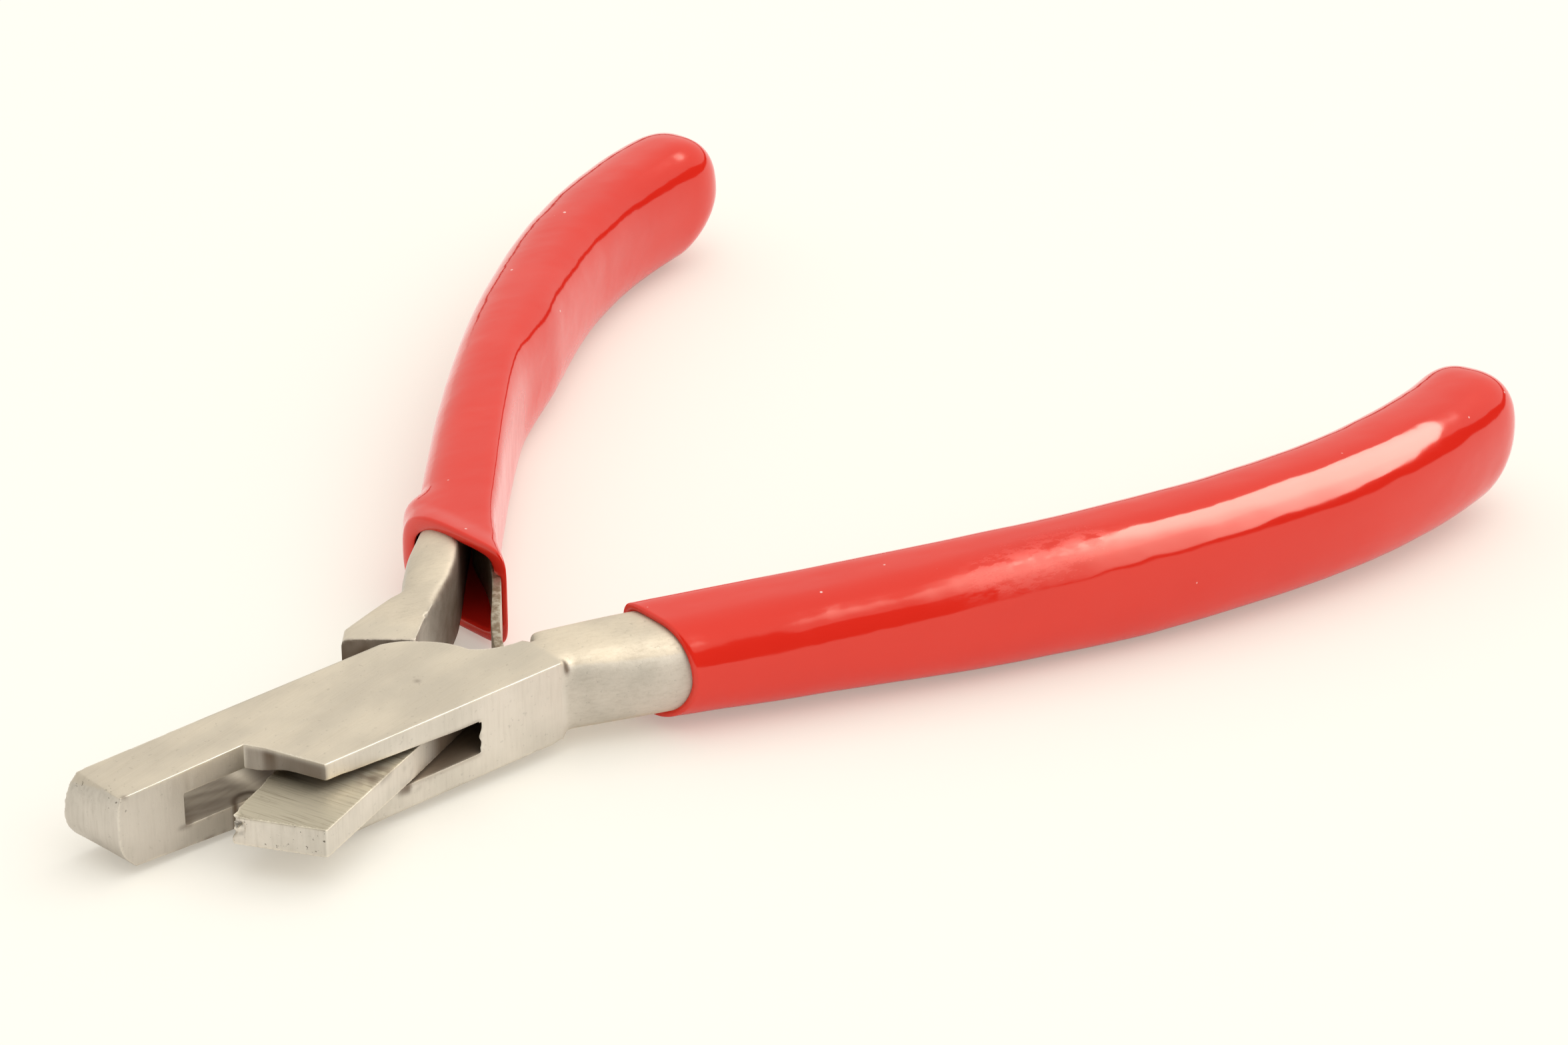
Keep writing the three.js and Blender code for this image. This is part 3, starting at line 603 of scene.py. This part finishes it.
class PLIERS_OT_slotted_half(Operator):
    """Makes the slotted half and its flush pin from its solid: fine mesh, rubbed edges with a painted
    highlight, rough slot end.
    """
    bl_idname = "pliers.slotted_half"
    bl_label = "Slotted Half"

    def execute(self, context):
        props = context.scene.pliers_steel
        start, end, steps = 0.03, 0.2, 40  # of the shank's skin, along the centreline
        seam, cheek = 0.2, 2.1  # what the plugs cover round the pin, and their depth
        point, tangent = centreline(end)
        work = node_copy("slotted_half")
        cut_off(work, (point[0], -point[1], MID), (tangent[0], -tangent[1], 0))
        add_plug(work, PIN_RADIUS, 0, BODY_HEIGHT)
        add_plug(work, PIN_RADIUS + seam, 0, cheek)
        add_plug(work, PIN_RADIUS + seam, BODY_HEIGHT - cheek, BODY_HEIGHT)
        add_loft(work, [grip_ring(-1, start + (end - start) * i / steps, 0.0, 1.0)
                        for i in range(steps + 1)])
        held, points, edges, degree = worn_steel("slotted_half_steel", work, props.voxel, self.round_part)
        x, y, z = points.T
        # the nose's flattened near edge, the burr below the box, the throat's roof and the ragged slot end
        bulge = np.sin(math.pi * np.clip((z - 0.5) / 6.9, 0, 1)) ** 0.7
        points[:, 0] += 1.25 * bulge * np.clip((7.4 - y) / 6.07, 0, 1) * ramp(x, -26.5, -29.2)
        burred = ramp(x, 5.0, 7.0) * ramp(z, 0.5, 0.1) * ramp(y, -5.2, -5.6)
        points[:, 2] += 0.3 * burred * np.maximum(grain(points, 0.9, 23), 0)
        lift = 5.35 + 0.7 * ramp(y, 0.6, -2.6)
        under = (x < -11) & (x > -17) & (y < 0.6) & (z > 5) & (z < lift)
        points[under, 2] += ((lift - z) * ramp(x, -11, -13))[under]
        ragged = band(x, 0.2, 1.2, 2.6, 3.6) * ramp(y, -3.2, -4.4)
        ragged *= ramp(np.abs(z - MID), 2.1, 1.6)
        points[:, 0] += 0.35 * ragged * grain(points, 0.8, 4)
        stain_and_shade, pitted = self.marks(points)
        finish_steel(held, points, edges, degree,
                     {"stain_and_shade": spread(stain_and_shade, edges, degree, 2), "pitted": pitted,
                      "blade": np.zeros(len(x)), "dressed": self.round_part(points)})
        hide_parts("slotted_half", "pivot_pin")
        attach(held, "slotted_body")
        return {"FINISHED"}

    def round_part(self, points):
        """The shank, which is dressed by hand."""
        return ramp(points[:, 0], 10.9, 11.7)

    def marks(self, points):
        """Painted shade in the slot, the window and the throat, dirt and spots round them, a painted dark
        notch at the box, and the dull nose, darker towards the bottom, with its grainy top.
        """
        x, y, z = points.T
        blotch = grain(points, 0.9, 6)
        streak = grain(np.stack([x * 0.25 + y * 0.9, y * 0.2, z], 1), 0.5, 7)
        # painted shade inside the slot, a little darker further in; in the window it is streaked and darker
        # towards its inner end
        mouth = np.where(x < 2.1, -5.8, -5.5)
        inside = ramp(np.abs(z - MID), 1.9, 1.7) * band(y, mouth, mouth + 0.25, 6.7, 7.0)
        slot = inside * ramp(x, -15.5, -13) * (0.8 + 0.1 * ramp(y, -5.6, -3.2))
        window = inside * band(x, -23.6, -23.3, -17, -15) * band(y, 1.4, 1.7, 6.2, 6.6)
        window *= 0.5 + 0.25 * streak + 0.3 * ramp(x, -21, -23.2)
        # painted shadow in a ring at the slot's round end
        ring = np.abs(np.hypot(x + 16.95, y - 1.0) - 1.35)
        arch_shade = ramp(ring, 0.4, 0.15) * ramp(z, 2.7, 2.4) * ramp(x, -15, -16)
        # the throat step face darkened as painted shade, darkest along its inner corner, with scoring marks
        scored = grain(np.stack([x + 0.5 * y, 0 * y, 0.12 * z], 1), 0.35, 17)
        step = band(x, -17.2, -16.9, -14.2, -13.6) * band(z, 4.9, 5.3, 7.2, 7.5) * ramp(y, 1.3, 1.0)
        crease_shade = ramp(np.abs(x + 16.0), 0.4, 0.1)
        step *= 0.44 + 0.14 * ramp(x, -16.3, -15.9) + 0.3 * crease_shade + 0.32 * scored
        rim = ramp(np.abs(z - 2.2), 0.3, 0.1) * ramp(np.abs(y - 1.4), 0.4, 0.2)
        rim *= band(x, -24.5, -23.5, -17, -16) * ramp(blotch, -0.15, 0.15)
        dirt = 0.85 * ramp(blot(points, "slot dirt"), 1.0, 0.3) * ramp(blotch, -0.35, 0.2)
        burr = ramp(z, 0.45, 0.15) * ramp(np.abs(y - 1.2), 0.5, 0.2) * ramp(x, -18.5, -20)
        burr *= 0.8 * ramp(blotch, 0.05, 0.3)
        spot = ramp(blot(points, "nose spot"), 0.4, 0.15)
        # a dark spot painted at the box's corner: painted shade of a notch
        nick_shade = ramp(blot(points, "box nick"), 1.0, 0.4)
        # the nose a little darker all over and more towards the bottom, with faint grain
        nose = ramp(x, -17.0, -19.0) * ramp(z, 7.5, 7.1)
        nose *= 0.1 + 0.13 * ramp(z, 4.5, 0.5) + 0.06 * grain(points, 2.5, 18)
        dot = ramp(np.hypot(x, y), 0.36, 0.16) * (z > 7)
        stain_and_shade = np.maximum.reduce([slot, window, 0.95 * arch_shade, step, nose, 0.7 * rim, dirt, burr,
                                   0.7 * spot, 0.6 * dot, 0.9 * nick_shade])
        pitted = 0.6 * ramp(x, -28.6, -29.1) * ramp(z, 5.6, 6.2) + 0.15
        return stain_and_shade, pitted


class PLIERS_OT_tongue_half(Operator):
    """Makes the tongue half from its solid: fine mesh, rubbed edges with a painted highlight and a chipped,
    pitted blade.
    """
    bl_idname = "pliers.tongue_half"
    bl_label = "Tongue Half"

    def execute(self, context):
        props = context.scene.pliers_steel
        tail = 0.24  # end of the handle core under the grip, along the centreline
        point, tangent = centreline(tail)
        work = node_copy("tongue_half")
        cut_off(work, tuple(open_out([(*point, MID)])[0]), tuple(open_out([(*tangent, 0)])[0]))
        cut_off(work, (-5.05, -5.6, MID), (math.sin(BACK_TURN), -math.cos(BACK_TURN), 0))
        held, points, edges, degree = worn_steel("tongue_half_steel", work, props.voxel, self.round_part)
        flat = closed(points)
        # the chipped blade corner, the burr along the shoulder's inner edge and the uneven cutting edge
        crumbled = ramp(blot(flat, "blade chip"), 1.0, 0.15)
        bite = crumbled * (0.35 + 0.8 * np.maximum(grain(flat, 0.55, 3), -0.3)) * props.chip
        flat += bite[:, None] * np.array((0.7, -0.55, -0.25))
        x, y, z = flat.T
        lip = band(x, 3.5, 5.0, 11.5, 13.0) * ramp(z, 6.6, 7.5)
        lip *= ramp(closed(normals_of(held, points))[:, 1], 0.0, -0.4)
        lip *= np.maximum(grain(flat, 0.8, 14), 0)
        flat += lip[:, None] * np.array((0.0, 0.35, -0.35))
        edge = ramp(y, 5.6, 6.4) * ramp(x, -13, -15) * (1 - crumbled)
        flat[:, 1] += 0.12 * edge * grain(flat, 0.7, 8)
        points = open_out(flat)
        normals = closed(normals_of(held, points))
        stain_and_shade, pitted, blade = self.marks(points, flat, normals, crumbled)
        finish_steel(held, points, edges, degree,
                     {"stain_and_shade": spread(stain_and_shade, edges, degree, 2), "pitted": pitted, "blade": blade,
                      "dressed": ramp(x, 7.0, 9.5)})
        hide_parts("tongue_half")
        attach(held, "tongue_body")
        return {"FINISHED"}

    def round_part(self, points):
        """The outer side of the neck and the core, which is dressed by hand and has no true flats."""
        flat = closed(points)
        return ramp(flat[:, 0], 12.0, 14.0) * ramp(flat[:, 1], 3.0, 4.5)

    def marks(self, points, flat, normals, crumbled):
        """Painted shade in the joint, on the shoulder's front with blotches of oxide and along the inner
        face, dirt at the blade's root and entry, and the ground blade.
        """
        x, y, z = flat.T
        blotch = grain(flat, 0.9, 9)
        # painted shade where the tongue lies between the box's cheeks, growing darker towards the pivot
        buried_shade = ramp(points[:, 1], -5.9, -3.6) * ramp(points[:, 0], -15.0, -12.5)
        buried_shade *= ramp(normals[:, 2], 0.3, 0.6)
        buried_shade = np.maximum(buried_shade, ramp(points[:, 0], -3.6, -0.4))
        buried_shade *= 0.9 * ramp(np.abs(z - MID), 1.6, 1.35) * ramp(x, 7.5, 6.5)
        # the shoulder's front face darkened: painted shade, partly oxide, blotchy
        front = ramp(normals[:, 0], -0.4, -0.7) * ramp(np.abs(z - MID), 1.2, 1.5) * (x > 0)
        front *= 0.8 + 0.2 * blotch
        # the inner face towards the other half darkened, more towards the grip: painted shade
        inner = ramp(normals[:, 1], -0.4, -0.7) * (x > 5)
        inner *= 0.3 + 0.5 * ramp(x, 9, 17) + 0.1 * blotch
        dirt = 0.75 * ramp(blot(flat, "blade root"), 1.0, 0.2) * ramp(blotch, -0.3, 0.25)
        smear = 0.6 * ramp(blot(points, "blade entry"), 1.0, 0.1) * ramp(blotch, -0.05, 0.4)
        blade = (x < -3) * ramp(normals[:, 2], 0.5, 0.8) * ramp(np.abs(z - MID), 1.7, 1.5)
        end = ramp(normals[:, 0], -0.5, -0.8) * ramp(x, -17, -19)
        stain_and_shade = np.maximum.reduce([buried_shade, front, inner, dirt, smear])
        return stain_and_shade, np.maximum(0.8 * end, crumbled) + 0.15, blade


class PLIERS_OT_grips(Operator):
    """Makes the two dipped vinyl grips as closed sleeves with a rounded lip and an uneven skin."""
    bl_idname = "pliers.grips"
    bl_label = "Dipped Grips"

    def execute(self, context):
        props = context.scene.pliers_grip
        for name, side, body in (("near_grip", -1, "slotted_body"), ("far_grip", 1, "tongue_body")):
            points, faces = self.sleeve(props, side)
            mesh = bpy.data.meshes.new(name + "_vinyl")
            mesh.from_pydata(points * MM, [], faces)
            mesh.materials.append(bpy.data.materials["dipped_red_vinyl"])
            mesh.shade_smooth()
            made = linked(name + "_vinyl", mesh)
            set_mask(made, "handled", ramp(blot(points, "handled patch"), 1.1, 0.35))
            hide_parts(name)
            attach(made, body)
        return {"FINISHED"}

    def sleeve(self, props, side):
        """Rings from the bore's end out to the lip, over it, and along the outside to the closed tip."""
        count, bores, lips, steps, tips = RING_POINTS, 24, 12, 170, 16
        skew, setback = (math.radians(22), 1.4) if side > 0 else (0.0, 0.0)
        facing = np.array((math.cos(skew), -math.sin(skew)))
        front = centreline(MOUTH)[0] + facing * setback
        lip, snug, settle = (props.far_lip, -0.25, 0.03) if side > 0 else (props.near_lip, -0.1, 0.12)
        sag = 0.0 if side > 0 else 1.2
        slant, slant_start = 1.8, 0.84  # set-back of the tip's underside, and its start
        bluntness, extra = 0.77, 0.55  # power of the tip's rounding, and its reach past the handle's end

        def ring(t, grow, shrink=1.0, back=0.0):
            """A ring slid along the handle so that near the mouth it lies on the mouth's plane."""
            loop = np.array(grip_ring(side, t, grow, shrink))
            along = centreline(t)[1]
            flat = np.stack([loop[:, 0], side * loop[:, 1]], 1)
            short = (front - flat) @ facing / (along @ facing)
            share = ease(t, MOUTH, MOUTH + 0.2, 1.0, 0.0)
            reach = (t - MOUTH) * HANDLE_LENGTH
            low = np.clip((MID - loop[:, 2]) / 4.5, 0, 1) ** 1.5
            slanted = ease(t, slant_start, 1.0, 0.0, slant)
            flat += along * (share * (short + reach - sag * low) + back - slanted * low)[:, None]
            return np.stack([flat[:, 0], side * flat[:, 1], loop[:, 2]], 1)

        rings = [ring(MOUTH + (props.depth - MOUTH) * (1 - i / bores) ** 1.5, snug, back=lip / 2)
                 for i in range(bores)]
        for i in range(lips + 1):
            turn = math.pi * i / lips
            rings.append(ring(MOUTH, snug + (lip - snug) * (1 - math.cos(turn)) / 2,
                              back=lip / 2 * (1 - math.sin(turn))))
        inner = len(rings) * count
        last = 1 - props.tip_round / HANDLE_LENGTH
        for i in range(1, steps + 1):
            t = MOUTH + (last - MOUTH) * (i / steps) ** 1.3
            rings.append(ring(t, ease(t, MOUTH, MOUTH + settle, lip, props.wall), back=lip / 2))
        for i in range(1, tips + 1):
            turn = math.pi / 2 * i / (tips + 0.2)
            end = last + (props.tip_round + extra) / HANDLE_LENGTH * math.sin(turn) ** bluntness
            rings.append(ring(end, props.wall, math.cos(turn) ** bluntness))
        points = np.concatenate(rings)
        faces = [(a, b, b + count, a + count) for r in range(len(rings) - 1)
                 for a, b in ((r * count + i, r * count + (i + 1) % count) for i in range(count))]
        faces.append(tuple(range(count))[::-1])
        faces.append(tuple(range(len(points) - count, len(points))))
        middle = np.repeat([r.mean(axis=0) for r in rings], count, axis=0)
        out = points - middle
        out /= np.maximum(np.linalg.norm(out, axis=1), 1e-6)[:, None]
        fade = ramp(np.arange(len(points)), inner, inner + 10 * count)
        wave = 0.08 * grain(points, 9.0, 11) + 0.03 * grain(points, 3.5, 12)
        points += out * (fade * wave)[:, None]
        if side < 0:
            return points, [f[::-1] for f in faces]
        return open_out(points), faces


class PLIERS_OT_spring(Operator):
    """Sweeps the leaf spring along its path with Geometry Nodes, and finishes the hidden rivet."""
    bl_idname = "pliers.spring"
    bl_label = "Leaf Spring"

    def execute(self, context):
        props = context.scene.pliers_spring
        path = self.path()
        curve = bpy.data.curves.new("strip_path", "CURVE")
        curve.dimensions = "3D"
        spline = curve.splines.new("POLY")
        spline.points.add(len(path) - 1)
        for held, p in zip(spline.points, path):
            held.co = (*(Vector(p) * MM), 1)
        held = linked("leaf_spring_strip", curve)
        sizes = {"Thickness": props.thickness * MM, "Width": props.width * MM, "Edge": props.edge * MM}
        tree = self.strip_tree(sizes)
        swept = held.modifiers.new("strip", "NODES")
        swept.node_group = tree
        for item in tree.interface.items_tree:
            if item.item_type == "SOCKET" and item.in_out == "INPUT" and item.name in sizes:
                swept[item.identifier] = sizes[item.name]
        mesh = applied(held)
        bpy.data.objects.remove(held)
        if not mesh.polygons:
            raise RuntimeError("the spring strip came out empty")
        made = linked("leaf_spring_strip", mesh)
        work = bmesh.new()
        work.from_mesh(mesh)
        bmesh.ops.remove_doubles(work, verts=work.verts, dist=1e-7)
        bmesh.ops.recalc_face_normals(work, faces=work.faces)
        work.to_mesh(mesh)
        work.free()
        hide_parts("leaf_spring")
        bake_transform(made)
        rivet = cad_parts["spring_rivet"]
        rivet.data.materials.clear()
        rivet.data.materials.append(bpy.data.materials["tempered_spring_steel"])
        return {"FINISHED"}

    def path(self):
        """Middle of the strip, from its riveted end in the far grip to its nose on the other shank."""
        seat = -0.5  # from the handle's centreline
        seated = []
        for t in (0.46, 0.40, 0.33, 0.27, 0.2):
            point, tangent = centreline(t)
            seated.append(point + seat * np.array((-tangent[1], tangent[0])))
        nose = closed([(9.4, 0.45, MID)])[0, :2]
        line = nose - seated[-1]
        across = np.array((-line[1], line[0])) / np.linalg.norm(line)
        free = [seated[-1] + line * f + across * bow
                for f, bow in ((0.2, 0.9), (0.4, 1.1), (0.6, 0.6), (0.8, -0.1), (1.0, 0.0))]
        flat = np.array(seated + free)
        for _ in range(3):
            finer = [flat[0]]
            for a, b in zip(flat[:-1], flat[1:]):
                finer += [0.75 * a + 0.25 * b, 0.25 * a + 0.75 * b]
            flat = np.array(finer + [flat[-1]])
        return open_out(np.column_stack([flat, np.full(len(flat), MID)]))

    def strip_tree(self, sizes):
        """Geometry nodes that sweep a strip with eased edges along a path."""
        tree = bpy.data.node_groups.new("swept_strip", "GeometryNodeTree")
        face = tree.interface
        face.new_socket("Path", in_out="INPUT", socket_type="NodeSocketGeometry")
        for name, size in sizes.items():
            made = face.new_socket(name, in_out="INPUT", socket_type="NodeSocketFloat")
            made.subtype = "DISTANCE"
            made.default_value = size
        face.new_socket("Strip", in_out="OUTPUT", socket_type="NodeSocketGeometry")
        given = tree.nodes.new("NodeGroupInput").outputs
        section = add(tree, "GeometryNodeCurvePrimitiveQuadrilateral",
                      {"Width": given["Thickness"], "Height": given["Width"]})
        eased = add(tree, "GeometryNodeFilletCurve",
                    {"Curve": section, "Radius": given["Edge"], "Count": 3}, mode="POLY")
        level = add(tree, "GeometryNodeSetCurveNormal", {"Curve": given["Path"]}, mode="Z_UP")
        swept = add(tree, "GeometryNodeCurveToMesh",
                    {"Curve": level, "Profile Curve": eased, "Fill Caps": True})
        plain = add(tree, "GeometryNodeRealizeInstances", {"Geometry": swept})
        finish = add(tree, "GeometryNodeSetMaterial",
                     {"Geometry": plain, "Material": bpy.data.materials["tempered_spring_steel"]})
        add(tree, "NodeGroupOutput", {"Strip": finish})
        return tree


class PLIERS_OT_stage(Operator):
    """Sets the pale floor, the soft light and the camera of the photograph."""
    bl_idname = "pliers.stage"
    bl_label = "Studio"

    def execute(self, context):
        props = context.scene.pliers_stage
        self.floor(props)
        self.surroundings(context, props)
        self.softbox(props)
        self.dark_room()
        self.camera(context, props)
        context.scene.view_settings.view_transform = "Standard"
        return {"FINISHED"}

    def floor(self, props):
        """A sheet of paper that the tool lies on: its nose and both grips touch it."""
        slope = math.tan(props.lean)
        lowest = min(v.co.z + slope * v.co.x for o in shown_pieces() for v in o.data.vertices)
        reach, gap = 4.0, 0.00002
        corners = [(-reach, -reach), (reach, -reach), (reach, reach), (-reach, reach)]
        mesh = bpy.data.meshes.new("paper_floor")
        mesh.from_pydata([(x, y, lowest - slope * x - gap) for x, y in corners], [], [(0, 1, 2, 3)])
        mesh.materials.append(pale_paper(props))
        made = linked("paper_floor", mesh)
        made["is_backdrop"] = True

    def surroundings(self, context, props):
        """Even light from all round, which the camera and reflections see as white."""
        world = bpy.data.worlds.new("white_surroundings")
        context.scene.world = world
        world.use_nodes = True
        tree = world.node_tree
        tree.nodes.clear()
        seen = tree.nodes.new("ShaderNodeLightPath").outputs
        plain = seen["Is Camera Ray"]
        for kind in ("Is Glossy Ray", "Is Transmission Ray"):
            plain = add(tree, "ShaderNodeMath", {0: plain, 1: seen[kind]}, operation="MAXIMUM")
        lit = add(tree, "ShaderNodeBackground", {"Color": srgb("#FFFFFF"), "Strength": props.fill})
        white = add(tree, "ShaderNodeBackground", {"Color": srgb("#FFFDF6"), "Strength": 1.0})
        shown = add(tree, "ShaderNodeMixShader", {0: plain, 1: lit, 2: white})
        add(tree, "ShaderNodeOutputWorld", {"Surface": shown})

    def softbox(self, props):
        """A large softbox on the right: a lamp for matt surfaces and two sheets for reflections."""
        lamp = bpy.data.lights.new("softbox_light", "AREA")
        lamp.shape = "RECTANGLE"
        lamp.size, lamp.size_y = 2.6, 2.2
        lamp.energy = props.key
        key = linked("softbox_light", lamp)
        key.location = self.toward(-40, 68, 1.6)
        key.rotation_euler = (-key.location).to_track_quat("-Z", "Y").to_euler()
        key.visible_glossy = False
        rim = ((-84, 2, 54), (-66, 8, 62), (-44, 16, 68), (-14, 35, 62), (8, 44, 48))
        share = (0.08, 0.45, 1.0, 1.0, 0.8)
        self.glow(self.card("softbox_back", rim, 1.7), share, props.glint)
        front = self.card("softbox_front", rim, 1.6)
        self.glow(front, share, props.shine)
        front.light_linking.receiver_collection = bpy.data.collections.new("softbox_front_lights")
        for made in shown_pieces():
            if "dipped_red_vinyl" in made.data.materials:
                front.light_linking.receiver_collection.objects.link(made)

    def dark_room(self):
        """The dark room behind the camera, with a low horizon on the right."""
        skirt = [(a, -1, 34 if a > -92 else 64) for a in range(-190, -39, 10)]
        skirt += [(-34, -1, 24), (-26, -1, 13), (-14, -1, 7), (0, -1, 4.5), (30, -1, 3.5), (70, -1, 3)]
        room = self.card("dark_room", skirt, 2.0)
        tree = room.active_material.node_tree
        shade = add(tree, "ShaderNodeBsdfDiffuse", {"Color": srgb("#2A2622")})
        add(tree, "ShaderNodeOutputMaterial", {"Surface": shade})

    def glow(self, front, share, strength):
        """A sheer softbox sheet that is bright in the middle and falls off to one side."""
        set_mask(front, "glow", np.repeat(share, 2) * strength)
        tree = front.active_material.node_tree
        level = add(tree, "ShaderNodeAttribute", out="Fac", attribute_name="glow")
        light = add(tree, "ShaderNodeEmission", {"Color": srgb("#FFFDF8"), "Strength": level})
        shade = add(tree, "ShaderNodeAddShader", {0: light, 1: add(tree, "ShaderNodeBsdfTransparent")})
        add(tree, "ShaderNodeOutputMaterial", {"Surface": shade})

    def toward(self, turn, rise, far):
        """A place by its direction in degrees and its distance."""
        turn, rise = math.radians(turn), math.radians(rise)
        level = math.cos(rise)
        return far * Vector((math.cos(turn) * level, math.sin(turn) * level, math.sin(rise)))

    def card(self, name, columns, far):
        """A card that only reflections show, from columns of a turn, a low and a high rise in degrees."""
        corners = [self.toward(turn, rise, far) for turn, *rises in columns for rise in rises]
        mesh = bpy.data.meshes.new(name)
        mesh.from_pydata(corners, [], [(i, i + 2, i + 3, i + 1) for i in range(0, len(corners) - 2, 2)])
        mesh.materials.append(new_material(name)[0])
        made = linked(name, mesh)
        made.visible_camera = False
        made.visible_diffuse = False
        made.visible_shadow = False
        made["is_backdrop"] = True
        return made

    def camera(self, context, props):
        """The photograph's viewpoint, with a level horizon."""
        lens = bpy.data.cameras.new("photo_camera")
        lens.lens = props.lens
        lens.clip_start = 0.01
        made = linked("photo_camera", lens)
        made.location = CAMERA_PLACE
        made.rotation_euler = self.toward(*CAMERA_VIEW, 1.0).to_track_quat("-Z", "Y").to_euler()
        context.scene.camera = made


class PLIERS_PT_panel(Panel):
    """Lists the pieces of the pliers."""
    bl_label = "Notching Pliers"
    bl_idname = "PLIERS_PT_panel"
    bl_space_type = "VIEW_3D"
    bl_region_type = "UI"
    bl_category = "Pliers"

    def draw(self, context):
        for held in SETTINGS:
            settings = getattr(context.scene, held)
            box = self.layout.box()
            for name in settings.__annotations__:
                box.prop(settings, name)
        for kind in OPERATORS:
            self.layout.operator(kind.bl_idname)


OPERATORS = (PLIERS_OT_slotted_half, PLIERS_OT_tongue_half, PLIERS_OT_grips, PLIERS_OT_spring,
             PLIERS_OT_stage)
SETTINGS = {"pliers_steel": SteelSettings, "pliers_grip": GripSettings,
            "pliers_spring": SpringSettings, "pliers_stage": StageSettings}
CLASSES = (*SETTINGS.values(), *OPERATORS, PLIERS_PT_panel)


def register():
    for kind in CLASSES:
        bpy.utils.register_class(kind)
    for name, kind in SETTINGS.items():
        setattr(Scene, name, PointerProperty(type=kind))


def unregister():
    for name in SETTINGS:
        delattr(Scene, name)
    for kind in reversed(CLASSES):
        bpy.utils.unregister_class(kind)


def main():
    """Registers the classes, makes the finishes and every piece, and sets the studio."""
    register()
    scene = bpy.context.scene
    ground_steel(scene.pliers_steel)
    dipped_vinyl(scene.pliers_grip)
    tempered_strip()
    bpy.ops.pliers.slotted_half()
    bpy.ops.pliers.tongue_half()
    bpy.ops.pliers.grips()
    bpy.ops.pliers.spring()
    bpy.ops.pliers.stage()


if __name__ == "__main__":
    main()
